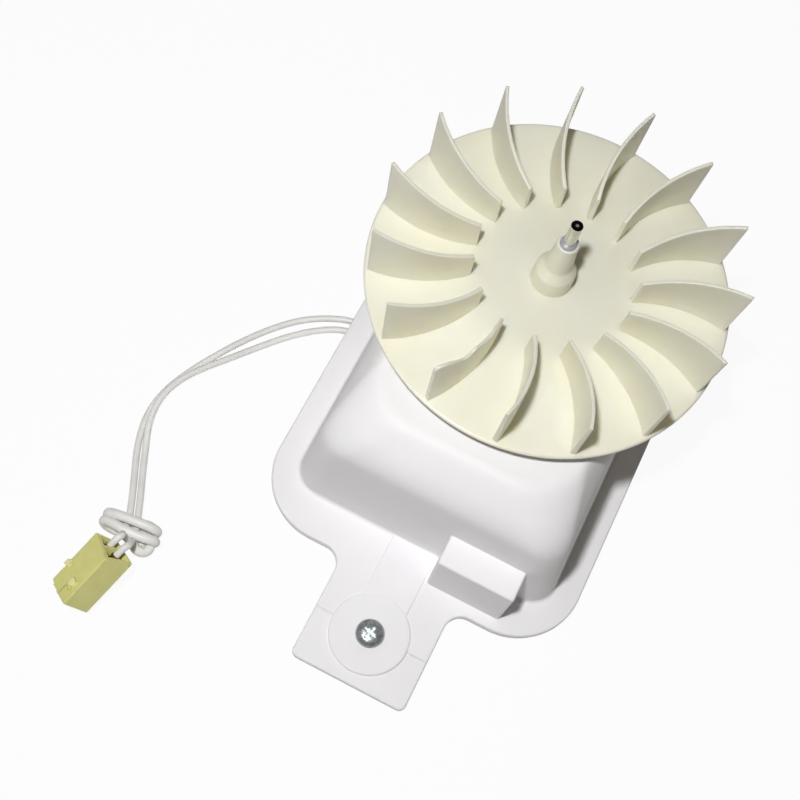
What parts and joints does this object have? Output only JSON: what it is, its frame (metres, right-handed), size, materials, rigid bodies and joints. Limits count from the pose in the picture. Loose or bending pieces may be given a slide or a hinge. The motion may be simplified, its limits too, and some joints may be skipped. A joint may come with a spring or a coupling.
{
  "type": "fan motor",
  "caption": "Evaporator fan motor: a bladed disc impeller on the shaft of a shaded-pole motor in a white moulded housing with a screw tab and leads to a small plug",
  "frame": {"origin": "on the shaft axis, at the rear face of the housing, which is the face that the part stands on", "axes": "+Z along the shaft from the housing to the impeller; +Y away from the screw tab; +X to the side opposite the leads"},
  "size_m": [0.1387, 0.1802, 0.0896],
  "materials": {
    "housing_plastic": "glossy white moulding",
    "impeller_plastic": "semi-gloss cream moulding",
    "zinc_screw": "zinc plated",
    "shaft_steel": "ground steel",
    "dark_spring_steel": "dark oxide",
    "lamination": "stacked electrical sheet",
    "bobbin_plastic": "natural nylon",
    "copper": "copper",
    "coil_tape": "thin polyester tape",
    "bracket_alloy": "die cast",
    "bearing_bronze": "sintered bronze",
    "felt": "oiled felt",
    "retainer_steel": "pressed sheet",
    "mount_rubber": "black rubber",
    "collar_nylon": "natural nylon",
    "wire_pvc": "smooth soft plastic",
    "connector_nylon": "yellow nylon",
    "terminal_brass": "brass strip"
  },
  "bodies": {
    "housing": {"front_cover": "housing_plastic", "rear_cover": "housing_plastic", "cover_screw": "zinc_screw", "stator_core": "lamination", "coil_core": "lamination", "bobbin": "bobbin_plastic", "field_coil": "copper", "coil_tape": "coil_tape", "shading_rings": "copper", "upper_bracket": "bracket_alloy", "lower_bracket": "bracket_alloy", "upper_bearing": "bearing_bronze", "lower_bearing": "bearing_bronze", "upper_oil_felt": "felt", "lower_oil_felt": "felt", "upper_retainer": "retainer_steel", "lower_retainer": "retainer_steel", "motor_screws": "zinc_screw", "rubber_mounts": "mount_rubber", "lead_wire_a": "wire_pvc", "lead_wire_b": "wire_pvc", "wire_knot": "wire_pvc", "lead_tail_a": "wire_pvc", "lead_tail_b": "wire_pvc", "connector_housing": "connector_nylon", "connector_terminals": "terminal_brass"},
    "rotor": {"impeller": "impeller_plastic", "hub_clip": "dark_spring_steel", "shaft": "shaft_steel", "rotor_core": "lamination", "rotor_cage": "bracket_alloy", "spacer_collars": "collar_nylon", "thrust_washers": "collar_nylon"}
  },
  "joints": [
    {"name": "fan_spin", "type": "hinge", "parent": "housing", "child": "rotor", "pos_m": [0, 0, 0.059], "axis": [0, 0, 1], "continuous": true}
  ]
}
